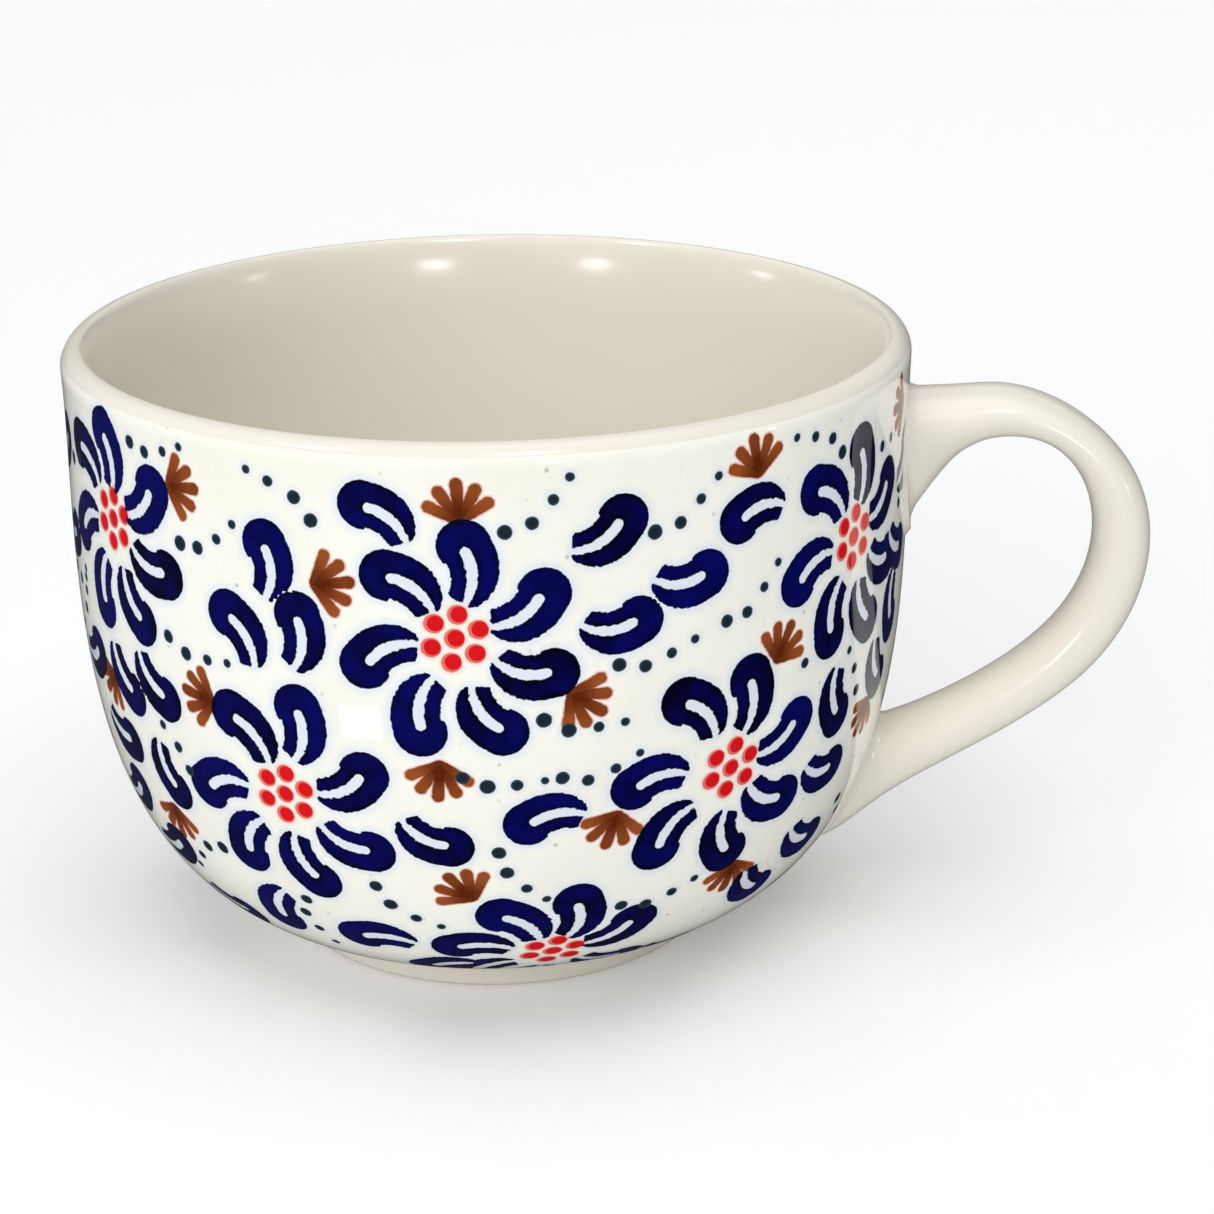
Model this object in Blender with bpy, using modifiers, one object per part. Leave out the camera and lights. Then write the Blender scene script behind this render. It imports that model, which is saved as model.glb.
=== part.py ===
"""Large stoneware cup with a looped strap handle, built as it is made in a pottery.

The cup is turned as one thick wall with its foot ring. The handle is pressed on its own and is
luted to the leather-hard cup with slip, which leaves a thin collar of joined clay at each root.
Metres, +Z up. The cup stands on Z = 0, the handle reaches along +X, and the origin is the middle
of the rectangle that the cup and its handle cover.
"""

import math

import bmesh
import bpy
import numpy as np
from mathutils import Vector

# Driving dimensions.
RIM_RADIUS = 0.0635
CUP_HEIGHT = 0.094
FOOT_RADIUS = 0.0332
RIM_WALL = 0.0041
BASE_WALL = 0.0050
SLIP_THICKNESS = 0.0015
GAP = 0.0003  # between pieces that touch

# Outer wall: one cubic curve from the crease above the foot up to the shoulder under the lip.
CREASE = (0.0361, 0.0050)
WALL_BULGE = (0.0693, 0.0153)
WALL_RISE = (0.0623, 0.0670)
SHOULDER = (RIM_RADIUS, CUP_HEIGHT - 0.0030)

# Lip: a rounded edge, fuller outside than inside.
LIP_OUT = 0.0028
LIP_IN = RIM_WALL - LIP_OUT
LIP_DROP = CUP_HEIGHT - SHOULDER[1]

# Foot ring and the hollow inside it.
FOOT_NECK = (0.0342, 0.0042)
FOOT_EDGE = 0.0009
FOOT_LAND = 0.0030
RECESS_DEPTH = 0.0028
RECESS_DRAFT = 0.0012

# Floor inside: level in the middle, then a slope that meets the wall's inner curve.
FLOOR_HEIGHT = 0.0088
FLOOR_LEVEL_SHARE = 0.6  # of the radius at which the wall's inner curve starts
FLOOR_RISE_SHARE = 0.3  # of the height from the floor to that start

TURN_STEPS = 72
TURN_WELD = 0.00001
SLOPE_STEP = 0.001  # share of the wall over which its slope is measured
WALL_POINTS = 13
LIP_POINTS = 5

# Handle cage, from the upper root round to the lower one. Each row holds, as distance from the
# cup's axis and height, the strap's outer edge, then its inner edge, and half the strap's width.
HANDLE_CAGE = (
    ((0.0512, 0.0862), (0.0620, 0.0630), 0.0095),
    ((0.0532, 0.0848), (0.0686, 0.0735), 0.0083),
    ((0.0712, 0.0851), (0.0721, 0.0772), 0.0073),
    ((0.0771, 0.0865), (0.0772, 0.0790), 0.0067),
    ((0.0891, 0.0830), (0.0862, 0.0781), 0.0064),
    ((0.1032, 0.0683), (0.0933, 0.0663), 0.0066),
    ((0.0964, 0.0392), (0.0883, 0.0461), 0.0067),
    ((0.0569, 0.0200), (0.0567, 0.0284), 0.0068),
    ((0.0535, 0.0110), (0.0500, 0.0315), 0.0072),
    ((0.0440, 0.0105), (0.0440, 0.0300), 0.0085),
)
STRAP_RINGS = 56
STRAP_SIDES = 24
ROOT_RINGS = 18
ROOT_SHARE = 0.30  # share of the strap's length that holds a root and its slip collar
SLIP_SPREAD = 0.0009  # how far the slip stands out past the strap

CREAM = (0.80, 0.76, 0.66, 1.0)
COBALT_ON_CREAM = (0.55, 0.56, 0.60, 1.0)
GLAZE_ROUGHNESS = 0.12


def clear_scene():
    for obj in list(bpy.data.objects):
        bpy.data.objects.remove(obj, do_unlink=True)


def make_collection(name):
    collection = bpy.data.collections.new(name)
    bpy.context.scene.collection.children.link(collection)
    return collection


def make_material(name, colour, roughness):
    material = bpy.data.materials.new(name)
    material.use_nodes = True
    shader = material.node_tree.nodes["Principled BSDF"]
    shader.inputs["Base Color"].default_value = colour
    shader.inputs["Roughness"].default_value = roughness
    shader.inputs["Metallic"].default_value = 0.0
    material.diffuse_color = colour
    return material


def add_object(name, mesh, collection, material=None):
    obj = bpy.data.objects.new(name, mesh)
    collection.objects.link(obj)
    if material:
        mesh.materials.append(material)
        mesh.shade_smooth()
    else:
        obj.hide_render = True
        obj.display_type = "WIRE"
    return obj


def cubic(start, first, second, end, share):
    """A point of the cubic curve with these four control points, each an (x, z) pair."""
    rest = 1 - share
    weights = (rest**3, 3 * rest**2 * share, 3 * rest * share**2, share**3)
    return Vector(
        sum(w * p[axis] for w, p in zip(weights, (start, first, second, end))) for axis in (0, 1)
    )


def outer_wall(share):
    """A point of the outer wall, 0 at the crease above the foot and 1 at the shoulder."""
    return cubic(CREASE, WALL_BULGE, WALL_RISE, SHOULDER, share)


def wall_normal(share):
    along = outer_wall(min(share + SLOPE_STEP, 1)) - outer_wall(max(share - SLOPE_STEP, 0))
    return Vector((along.y, -along.x)).normalized()


def offset_wall(distance):
    """The outer wall moved out by a distance that may change along it, from crease to shoulder."""
    points = []
    for i in range(WALL_POINTS + 1):
        share = i / WALL_POINTS
        points.append(outer_wall(share) + wall_normal(share) * distance(share))
    return points


def cup_profile():
    """The cup's section, from the middle of its floor, up the inside, over the lip and down."""
    inside = offset_wall(lambda share: -(BASE_WALL + (RIM_WALL - BASE_WALL) * share))
    outside = offset_wall(lambda share: 0.0)
    crest = RIM_RADIUS - LIP_OUT
    lip = []
    for i in range(1, 2 * LIP_POINTS):
        angle = math.pi / 2 * i / LIP_POINTS
        reach = LIP_IN if i < LIP_POINTS else LIP_OUT
        rise = LIP_DROP * math.sin(angle)
        lip.append(Vector((crest - reach * math.cos(angle), SHOULDER[1] + rise)))
    ring_inner = FOOT_RADIUS - FOOT_EDGE - FOOT_LAND
    foot = [
        Vector(FOOT_NECK),
        Vector((FOOT_RADIUS, FOOT_EDGE)),
        Vector((FOOT_RADIUS - FOOT_EDGE, 0.0)),
        Vector((ring_inner, 0.0)),
        Vector((ring_inner - RECESS_DRAFT, RECESS_DEPTH)),
        Vector((0.0, RECESS_DEPTH)),
    ]
    rise = (inside[0].y - FLOOR_HEIGHT) * FLOOR_RISE_SHARE
    floor = [
        Vector((0.0, FLOOR_HEIGHT)),
        Vector((inside[0].x * FLOOR_LEVEL_SHARE, FLOOR_HEIGHT + rise)),
    ]
    return floor + inside + lip + outside[::-1] + foot


def swollen_profile(distance):
    """A solid of the cup's outer shape, swollen by a distance, for trimming what meets the wall."""
    wall = offset_wall(lambda share: distance)
    top = Vector((0.0, wall[-1].y))
    bottom = Vector((0.0, wall[0].y))
    return [top] + wall[::-1] + [bottom]


def turned(name, profile, axis_x, collection, material=None):
    """A profile turned once round the cup's axis with a Screw modifier."""
    mesh = bpy.data.meshes.new(name)
    edges = [(i, i + 1) for i in range(len(profile) - 1)]
    mesh.from_pydata([(point.x, 0.0, point.y) for point in profile], edges, [])
    obj = add_object(name, mesh, collection, material)
    obj.location.x = axis_x
    screw = obj.modifiers.new("Turn", "SCREW")
    screw.steps = TURN_STEPS
    screw.render_steps = TURN_STEPS
    screw.use_merge_vertices = True
    screw.merge_threshold = TURN_WELD
    return obj


def strap_edges(share):
    """The strap's outer point, inner point and half width, on a clamped cubic B-spline."""
    cage = [np.array((*outer, *inner, half_width)) for outer, inner, half_width in HANDLE_CAGE]
    spans = len(cage) - 3
    knots = [0.0] * 3 + [i / spans for i in range(spans + 1)] + [1.0] * 3
    span = min(int(share * spans), spans - 1) + 3
    rows = cage[span - 3 : span + 1]
    for level in range(1, 4):
        for i in range(3, level - 1, -1):
            low = knots[span - 3 + i]
            high = knots[span + 1 + i - level]
            mix = (share - low) / (high - low)
            rows[i] = rows[i - 1] * (1 - mix) + rows[i] * mix
    outer_x, outer_z, inner_x, inner_z, half_width = rows[3]
    return Vector((outer_x, 0.0, outer_z)), Vector((inner_x, 0.0, inner_z)), half_width


def strap_section(share, swell):
    """One oval section of the strap, from its outer edge to its inner one."""
    outer, inner, half_width = strap_edges(share)
    centre = (outer + inner) / 2
    lift = (outer - inner) / 2
    lift += lift.normalized() * swell
    side = Vector((0.0, half_width + swell, 0.0))
    angles = [math.tau * i / STRAP_SIDES for i in range(STRAP_SIDES)]
    return [centre + lift * math.cos(angle) + side * math.sin(angle) for angle in angles]


def strap_sections(first, last, rings, swell=0.0):
    return [strap_section(first + (last - first) * i / rings, swell) for i in range(rings + 1)]


def cup_axis_x():
    """The cup's axis, placed so that the middle of the whole outline is the origin."""
    reach = max(strap_edges(i / STRAP_RINGS)[0].x for i in range(STRAP_RINGS + 1))
    return -(reach - RIM_RADIUS) / 2


def strap_mesh(name, sections):
    """A closed tube through a row of like sections."""
    mesh = bpy.data.meshes.new(name)
    shape = bmesh.new()
    rings = [[shape.verts.new(point) for point in section] for section in sections]
    for ring, following in zip(rings, rings[1:]):
        for i in range(STRAP_SIDES):
            j = (i + 1) % STRAP_SIDES
            shape.faces.new((ring[i], ring[j], following[j], following[i]))
    shape.faces.new(rings[0][::-1])
    shape.faces.new(rings[-1])
    bmesh.ops.recalc_face_normals(shape, faces=shape.faces)
    shape.to_mesh(mesh)
    shape.free()
    return mesh


def trim(obj, operation, cutter):
    cut = obj.modifiers.new(f"{operation.title()} {cutter.name}", "BOOLEAN")
    cut.operation = operation
    cut.object = cutter
    cut.solver = "EXACT"


def main():
    clear_scene()
    parts = make_collection("stoneware_mug")
    cutters = make_collection("cutters")
    painted = make_material("painted_glaze", COBALT_ON_CREAM, GLAZE_ROUGHNESS)
    cream = make_material("cream_glaze", CREAM, GLAZE_ROUGHNESS)
    axis_x = cup_axis_x()

    turned("cup_body", cup_profile(), axis_x, parts, painted)

    # The wall, the outer face of the slip on it, and the face where the handle starts.
    wall_face = turned("wall_face", swollen_profile(GAP), axis_x, cutters)
    slip_face = turned("slip_face", swollen_profile(GAP + SLIP_THICKNESS), axis_x, cutters)
    strap_face = turned("strap_face", swollen_profile(2 * GAP + SLIP_THICKNESS), axis_x, cutters)

    sections = strap_sections(0.0, 1.0, STRAP_RINGS)
    handle = add_object("handle", strap_mesh("handle", sections), parts, cream)
    handle.location.x = axis_x
    trim(handle, "DIFFERENCE", strap_face)

    roots = {"upper_handle_joint": (0.0, ROOT_SHARE), "lower_handle_joint": (1 - ROOT_SHARE, 1.0)}
    for name, (first, last) in roots.items():
        sections = strap_sections(first, last, ROOT_RINGS, SLIP_SPREAD)
        joint = add_object(name, strap_mesh(name, sections), parts, cream)
        joint.location.x = axis_x
        trim(joint, "DIFFERENCE", wall_face)
        trim(joint, "INTERSECT", slip_face)


main()
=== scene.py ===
"""Large stoneware cup with a looped strap handle, painted all over with pinwheel flowers.

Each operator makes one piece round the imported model: the cream clay body, the painted wall,
the strap handle, its two slip fillets, and the studio that they stand in.
"""

import functools
import math

import bmesh
import bpy
import numpy as np
from mathutils import Matrix, Vector


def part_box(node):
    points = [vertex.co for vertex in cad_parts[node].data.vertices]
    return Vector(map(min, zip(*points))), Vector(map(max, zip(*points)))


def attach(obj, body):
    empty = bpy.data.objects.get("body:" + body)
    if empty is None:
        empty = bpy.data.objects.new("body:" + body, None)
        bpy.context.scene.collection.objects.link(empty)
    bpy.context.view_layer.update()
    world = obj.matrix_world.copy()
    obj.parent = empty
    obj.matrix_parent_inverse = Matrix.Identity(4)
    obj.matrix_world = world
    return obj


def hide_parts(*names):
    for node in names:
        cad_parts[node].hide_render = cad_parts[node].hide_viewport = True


bl_info = {
    "name": "Painted Stoneware Cup",
    "version": (1, 0, 0),
    "blender": (4, 5, 0),
    "location": "3D View > Sidebar > Cup",
    "description": "Makes a glazed stoneware cup with a painted flower pattern",
    "category": "Add Mesh",
}

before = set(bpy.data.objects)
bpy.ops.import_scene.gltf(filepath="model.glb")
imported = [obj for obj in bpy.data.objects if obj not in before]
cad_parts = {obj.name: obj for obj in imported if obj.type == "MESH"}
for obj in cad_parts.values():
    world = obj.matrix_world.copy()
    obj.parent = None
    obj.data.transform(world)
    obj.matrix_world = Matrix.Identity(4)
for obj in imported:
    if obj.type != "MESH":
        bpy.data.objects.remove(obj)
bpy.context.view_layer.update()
BODY_LOW, BODY_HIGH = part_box("cup_body")
AXIS_X = (BODY_LOW.x + BODY_HIGH.x) / 2
RIM_RADIUS = (BODY_HIGH.x - BODY_LOW.x) / 2
CUP_HEIGHT = BODY_HIGH.z
MM = 0.001

# Outer wall: one cubic curve, as distance from the axis and height.
CREASE = (0.0361, 0.0050)
WALL_BULGE = (0.0693, 0.0153)
WALL_RISE = (0.0623, 0.0670)
SLOPE_STEP = 0.001  # share of the wall over which its slope is measured
WALL_ROWS = 150
LIP_ROWS = 14
INSIDE_ROWS = 46
FLOOR_ROWS = 12
INSIDE_EDGE_ROWS = 24
FOOT_EDGE_ROWS = 6
BODY_STEPS = 270
PAINT_STEPS = 540
HAIR = 1e-5  # two points on a row of points are never nearer than this
WELD = 1e-6
SHARPEST_SMOOTH = 35  # degrees between two faces past which their edge is shaded sharp

# Floor inside: where the two middle control points of its curve lie.
FLOOR_LEVEL = 0.016
FLOOR_TURN = (0.028, 0.0088)

# Foot ring: the hollow under the wall, the ring's own edges, and the recess inside it.
FOOT_HOLLOW = ((0.0350, 0.0046), (0.0343, 0.0041), (0.0337, 0.0030))
FOOT_EDGE = 0.0009
FOOT_LAND = 0.0030
FOOT_INNER_EDGE = 0.0007
RECESS = ((0.0013, 0.0020), (0.0021, 0.0027), (0.0036, 0.0028))  # in from the ring, and height

# Handle cage, from the upper root round to the lower one: the strap's outer edge, then its inner
# edge, each as distance from the cup's axis and height, and half the strap's width.
HANDLE_CAGE = (
    ((0.0512, 0.0862), (0.0620, 0.0630), 0.0095),
    ((0.0532, 0.0848), (0.0686, 0.0735), 0.0083),
    ((0.0712, 0.0851), (0.0721, 0.0772), 0.0073),
    ((0.0771, 0.0865), (0.0772, 0.0790), 0.0067),
    ((0.0891, 0.0830), (0.0862, 0.0781), 0.0064),
    ((0.1032, 0.0683), (0.0933, 0.0663), 0.0066),
    ((0.0964, 0.0392), (0.0883, 0.0461), 0.0067),
    ((0.0569, 0.0200), (0.0567, 0.0284), 0.0068),
    ((0.0535, 0.0110), (0.0500, 0.0315), 0.0072),
    ((0.0440, 0.0105), (0.0440, 0.0300), 0.0085),
)
ROOT_DEPTH = 0.0022  # how far the strap's ends lie inside the wall's clay
ROOT_SHARE = 0.42  # share of the strap's length in which its end is looked for
HALVINGS = 18
FILLET_DEPTH = 0.8 * ROOT_DEPTH  # how far the fillets' ends lie inside it
STRAP_SIDES = 56
STRAP_RINGS = 150
FILLET_RINGS = 40
FILLET_SKIN = 0.00006  # the slip's thickness where it thins out on the strap

# The painter's marks. A place on the wall is (turn, height): degrees round the cup from its
# front, growing towards the handle at 90, and millimetres above the table. A direction is in
# degrees too, 0 towards the handle and 90 up.
FLOWERS = (
    (3.0, 67.5, ((78, 5.0), (23, 5.2), (-27, 6.2), (-70, 7.2), (-114, 6.4), (-165, 5.0), (132, 4.6))),
    (-20.8, 41.7, ((72, 6.3), (119, 5.0), (-176, 6.2), (-129, 7.2), (-83, 6.5), (-37, 6.5), (16, 5.3))),
    (39.5, 43.3, ((75, 5.4), (121, 6.6), (177, 7.3), (-137, 7.3), (-86, 7.1), (-41, 5.4), (14, 4.7))),
    (61.5, 71.8, ((76, 4.8), (130, 5.0), (-170, 5.6), (-118, 6.2), (-73, 7.2), (-32, 6.0), (20, 4.8))),
    (-49.2, 76.0, ((92, 4.2), (140, 5.7), (-164, 5.3), (-113, 7.0), (-69, 7.0), (-25, 5.7), (28, 4.2))),
    (16.0, 14.3, ((74, 4.6), (122, 4.8), (167, 6.2), (-145, 6.0), (-92, 6.5), (-38, 6.0), (24, 4.6))),
)
LOOSE_PETALS = (
    (-6.2, 84.0, 143),
    (-21.3, 76.4, 92),
    (-26.0, 65.3, 122),
    (-17.4, 66.8, 86),
    (21.5, 82.0, 32),
    (23.3, 68.8, 2),
    (32.5, 73.9, 0),
    (42.1, 80.0, -172),
    (14.0, 39.3, -170),
    (-0.5, 37.3, -30),
    (-27.2, 19.2, -110),
    (-11.8, 16.5, 178),
    (59.7, 47.6, -78),
    (58.9, 37.2, -16),
    (59.3, 25.3, -30),
    (50.6, 19.8, -48),
    (72.0, 48.5, -63),
    (77.5, 66.0, -30),
    (76.5, 56.5, -90),
    (80.5, 78.0, 40),
    (-49.5, 52.0, -52),
    (-41.6, 53.6, -43),
    (-42.0, 39.0, -72),
    (-54.5, 41.7, -14),
    (-62.0, 52.0, 20),
    (-57.0, 31.5, 30),
    (-50.0, 24.5, 20),
    (-42.0, 15.5, -20),
    (68.0, 12.5, 175),
    (-2.0, 10.0, -160),
    (40.0, 9.0, -15),
)
FANS = (
    (-36.1, 84.2, 5),
    (-14.4, 74.1, 8),
    (4.0, 83.9, 94),
    (42.6, 86.0, 102),
    (17.0, 58.9, -35),
    (-30.8, 53.7, 172),
    (0.7, 49.0, -96),
    (23.3, 39.6, -106),
    (4.0, 26.6, 129),
    (43.6, 25.8, -92),
    (46.1, 58.1, 61),
    (-44.0, 32.7, -98),
    (-53.8, 50.5, -142),
    (70.0, 43.5, -122),
    (79.5, 86.5, 180),
)
# Trails of dots: places with a radius in millimetres.
DOTS = (
    (-23.0, 89.0, 0.65),
    (-20.0, 87.8, 0.80),
    (-16.5, 86.0, 1.00),
    (-14.4, 83.0, 1.05),
    (-34.5, 76.3, 1.10),
    (-31.4, 76.3, 1.00),
    (-28.2, 78.2, 0.80),
    (-25.6, 80.8, 0.65),
    (-38.0, 61.7, 1.00),
    (-34.8, 60.0, 1.05),
    (-31.0, 60.0, 0.85),
    (-27.7, 60.3, 0.65),
    (-43.5, 88.7, 1.00),
    (-40.4, 88.0, 0.95),
    (-36.7, 88.9, 0.75),
    (-33.6, 90.2, 0.65),
    (9.3, 82.3, 1.05),
    (12.6, 83.4, 0.95),
    (15.2, 86.5, 0.78),
    (17.2, 89.5, 0.68),
    (27.8, 80.6, 1.10),
    (31.2, 81.4, 0.95),
    (34.0, 84.2, 0.80),
    (36.5, 87.0, 0.68),
    (23.1, 62.4, 1.00),
    (26.5, 61.7, 0.95),
    (30.0, 63.0, 0.78),
    (33.2, 64.4, 0.68),
    (13.6, 55.3, 1.10),
    (16.7, 53.5, 1.10),
    (20.5, 53.6, 0.80),
    (23.9, 53.9, 0.68),
    (3.4, 46.9, 1.00),
    (6.5, 45.5, 1.10),
    (10.2, 45.6, 0.85),
    (13.7, 46.1, 0.62),
    (15.9, 46.3, 1.00),
    (19.2, 45.6, 0.92),
    (22.8, 46.9, 0.78),
    (26.0, 48.8, 0.62),
    (37.8, 66.0, 1.00),
    (40.9, 66.6, 0.90),
    (43.6, 69.6, 0.78),
    (45.9, 72.6, 0.65),
    (58.3, 85.2, 1.05),
    (56.0, 87.8, 0.92),
    (52.4, 89.0, 0.80),
    (48.9, 89.7, 0.62),
    (7.7, 34.7, 1.05),
    (8.7, 31.2, 1.05),
    (11.4, 28.2, 0.85),
    (14.2, 26.0, 0.65),
    (25.4, 22.9, 1.00),
    (29.3, 22.3, 1.00),
    (33.3, 23.6, 0.85),
    (36.7, 25.2, 0.68),
    (-9.6, 28.0, 1.00),
    (-8.0, 24.7, 1.05),
    (-4.6, 22.3, 0.85),
    (-1.1, 20.8, 0.68),
    (-21.7, 23.0, 0.95),
    (-23.1, 20.0, 0.95),
    (-22.3, 16.7, 0.82),
    (-21.1, 13.6, 0.68),
    (-35.0, 28.7, 1.10),
    (-38.7, 27.7, 1.00),
    (-41.7, 25.0, 0.80),
    (-44.2, 22.3, 0.65),
    (-41.7, 47.0, 0.75),
    (-39.0, 44.3, 0.90),
    (-37.5, 41.0, 0.92),
    (51.4, 56.0, 0.80),
    (61.6, 54.5, 0.65),
    (63.5, 51.0, 0.82),
    (64.9, 47.0, 0.92),
    (69.8, 82.7, 0.90),
    (73.2, 83.0, 0.75),
    (78.0, 71.5, 0.80),
    (-61.7, 64.5, 0.70),
    (-62.5, 60.8, 0.85),
    (-64.0, 57.5, 0.95),
    (68.5, 27.5, 0.95),
    (71.0, 24.5, 0.82),
    (73.5, 21.5, 0.68),
)
# The same marks again on the side that faces away: turned by so many degrees, for those whose
# turn lies between the two limits.
REPEATS = ((0.0, -90.0, 90.0), (166.0, -66.0, 81.0), (268.0, -18.0, 32.0))

# A petal stamp, in millimetres: a band round an arc that ends in a disc, with a slit along the arc.
PETAL_MIDDLE = (5.6, -0.4)
SLIT_CENTRE = (4.2, 5.7)
SLIT_RADIUS = 7.4
PETAL_DISC = (8.3, -0.9)
PETAL_DISC_RADIUS = 3.8
PETAL_START = -4.6  # how far along the arc the band starts
PETAL_TURN = 4.1  # how far along it the disc's middle lies
PETAL_CORNER = 0.2  # sets the slanting cut that leaves the disc a corner
PETAL_CORNER_SLANT = 0.9
PETAL_INNER = 3.0  # the band's two edges at its end, measured from the arc
PETAL_OUTER = 4.05
PETAL_INNER_TAPER = 0.006  # how the edges near the arc towards the band's start
PETAL_OUTER_TAPER = 0.0045
SLIT_END = 3.3
SLIT_SHIFT = 0.05
SLIT_WIDTH = (0.42, 0.125, 0.011)  # half width at its start, its growth, and its later narrowing
PETAL_ROUNDING = 0.55
SLIT_ROUNDING = 0.35
FLOWER_PETAL_SCALE = 0.97
FLOWER_PETAL_LEAN = 13.0
SEED_RING = 3.45
SEED_RADIUS = 1.42
FAN_FINGER_STEP = 30.0
FAN_REACH = 5.1
FAN_OUTER_FINGERS = 2  # fingers on either side of the middle one
FAN_FINGER_SHORTER = 0.3  # each next finger's tip, from the middle one outwards
FAN_FINGER_WIDTH = 0.66
FAN_FINGER_SPREAD = 0.045
FAN_HEEL = 0.2
FAN_PALM = (1.4, 1.35)  # how far out the filled palm lies, and its radius
FAN_MIDDLE = (2.6, 4.4)  # a disc round the whole fan: its middle and its radius
PAINT_EDGE = 0.09  # how soft the outlines of the seeds and dots are
SEED_CORE = (0.20, 0.05)  # the red core is off the seed's middle
MARK_REACH = 16.0


# ---------------------------------------------------------------- settings


def size_setting(name, description, default):
    return bpy.props.FloatProperty(name=name, description=description, default=default, unit="LENGTH")


def amount_setting(name, description, default):
    return bpy.props.FloatProperty(name=name, description=description, default=default)


def colour_setting(name, description, default):
    return bpy.props.FloatVectorProperty(
        name=name, description=description, default=default, subtype="COLOR"
    )


class CupSettings(bpy.types.PropertyGroup):
    """Sizes and glaze colours of the cup."""

    wall_at_rim: size_setting("Wall at rim", "Wall thickness under the lip", 0.0050)
    shoulder_drop: size_setting("Shoulder drop", "Height of the soft inside edge", 0.010)
    wall_at_base: size_setting("Wall at base", "Wall thickness above the foot", 0.0050)
    lip_height: size_setting("Lip height", "Height of the rounded lip", 0.0030)
    lip_reach: size_setting("Lip reach", "Outer share of the lip's thickness", 0.0028)
    floor_height: size_setting("Floor height", "Height of the inside floor", 0.0088)
    foot_radius: size_setting("Foot radius", "Outer radius of the foot ring", 0.0332)
    paint_depth: size_setting("Paint depth", "Thickness of the painted layer", 0.0004)
    paint_bottom: size_setting("Paint bottom", "Height where the pattern starts", 0.0062)
    paint_top: size_setting("Paint top", "Height where the pattern ends", 0.0925)
    cream: colour_setting("Cream", "Clay under clear glaze", (0.895, 0.890, 0.810))
    warm_cream: colour_setting("Warm cream", "Clay where the glaze is thick", (0.78, 0.745, 0.63))
    speck: colour_setting("Speck", "Iron specks in the clay", (0.30, 0.22, 0.14))
    cobalt: colour_setting("Cobalt", "Petals, thin paint", (0.0012, 0.0020, 0.090))
    cobalt_dark: colour_setting("Dark cobalt", "Petals, thick paint", (0.0004, 0.0005, 0.008))
    cobalt_wash: colour_setting("Cobalt wash", "Faint blue round the petals", (0.66, 0.74, 0.86))
    slate: colour_setting("Slate", "Dots", (0.010, 0.020, 0.032))
    slate_rim: colour_setting("Slate rim", "Edges of the dots", (0.035, 0.065, 0.085))
    overlap: colour_setting("Overlap", "Where a petal lies over a fan", (0.0015, 0.0015, 0.003))
    rust: colour_setting("Rust", "Fans", (0.30, 0.075, 0.018))
    rust_dark: colour_setting("Dark rust", "Fans, thick paint", (0.10, 0.016, 0.003))
    red: colour_setting("Red", "Seeds", (0.66, 0.008, 0.012))
    salmon: colour_setting("Salmon", "Rims of the seeds", (0.74, 0.16, 0.13))
    blush: colour_setting("Blush", "Faint pink round the seeds", (0.86, 0.60, 0.54))
    bare_clay: colour_setting("Bare clay", "Unglazed ring under the foot", (0.60, 0.52, 0.41))


class HandleSettings(bpy.types.PropertyGroup):
    """Shape of the handle's section and of its joints."""

    fillet: size_setting("Fillet", "Radius where the strap meets the wall", 0.0016)
    squareness: bpy.props.FloatProperty(
        name="Squareness", description="1 is an oval strap, less is squarer", default=0.90, min=0.5, max=1.0
    )


class StudioSettings(bpy.types.PropertyGroup):
    """Camera and lights."""

    focal_length: amount_setting("Focal length", "Lens of the camera in millimetres", 85.33)
    camera_place: bpy.props.FloatVectorProperty(
        name="Camera place", description="Where the camera stands", default=(0.0395, -0.4172, 0.2027),
        unit="LENGTH",
    )
    camera_aim: bpy.props.FloatVectorProperty(
        name="Camera aim", description="What the camera looks at", default=(-0.0008, 0.0017, 0.0486),
        unit="LENGTH",
    )
    camera_roll: bpy.props.FloatProperty(
        name="Camera roll", description="Turn about the line of sight", default=0.0099, unit="ROTATION"
    )
    daylight: amount_setting("Daylight", "Strength of the even light all round", 0.52)
    mirrored_room: amount_setting("Mirrored room", "Strength of the room that the glaze mirrors", 0.03)
    right_shade: amount_setting("Right shade", "How much dimmer the daylight is on the right", 0.50)
    key: amount_setting("Key", "Strength of the broad light from the front left", 1.0)
    overhead: amount_setting("Overhead", "Strength of the broad light from above", 1.45)
    floor_tone: colour_setting("Floor tone", "Colour of the floor", (0.84, 0.84, 0.84))


# ---------------------------------------------------------------- wall and strap shapes


def cubic(start, first, second, end, share):
    """A point of the cubic curve with these four control points."""
    rest = 1 - share
    weights = (rest**3, 3 * rest**2 * share, 3 * rest * share**2, share**3)
    return Vector(
        sum(w * p[axis] for w, p in zip(weights, (start, first, second, end))) for axis in (0, 1)
    )


def outer_wall(share):
    """A point of the outer wall, 0 at the crease above the foot and 1 under the lip."""
    lip = bpy.context.scene.cup.lip_height
    return cubic(CREASE, WALL_BULGE, WALL_RISE, (RIM_RADIUS, CUP_HEIGHT - lip), share)


def wall_normal(share):
    along = outer_wall(min(share + SLOPE_STEP, 1)) - outer_wall(max(share - SLOPE_STEP, 0))
    return Vector((along.y, -along.x)).normalized()


def lip_arc():
    """The lip's outer edge, from its side to its crest."""
    cup = bpy.context.scene.cup
    crest = RIM_RADIUS - cup.lip_reach
    arc = []
    for i in range(LIP_ROWS + 1):
        angle = math.radians(90 * i / LIP_ROWS)
        rise = cup.lip_height * math.sin(angle)
        out = cup.lip_reach * math.cos(angle)
        arc.append(Vector((crest + out, CUP_HEIGHT - cup.lip_height + rise)))
    return arc


def outside_line():
    """The outer wall from the crease to the crest of the lip, as a dense row of points."""
    return [outer_wall(i / WALL_ROWS) for i in range(WALL_ROWS)] + lip_arc()


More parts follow.
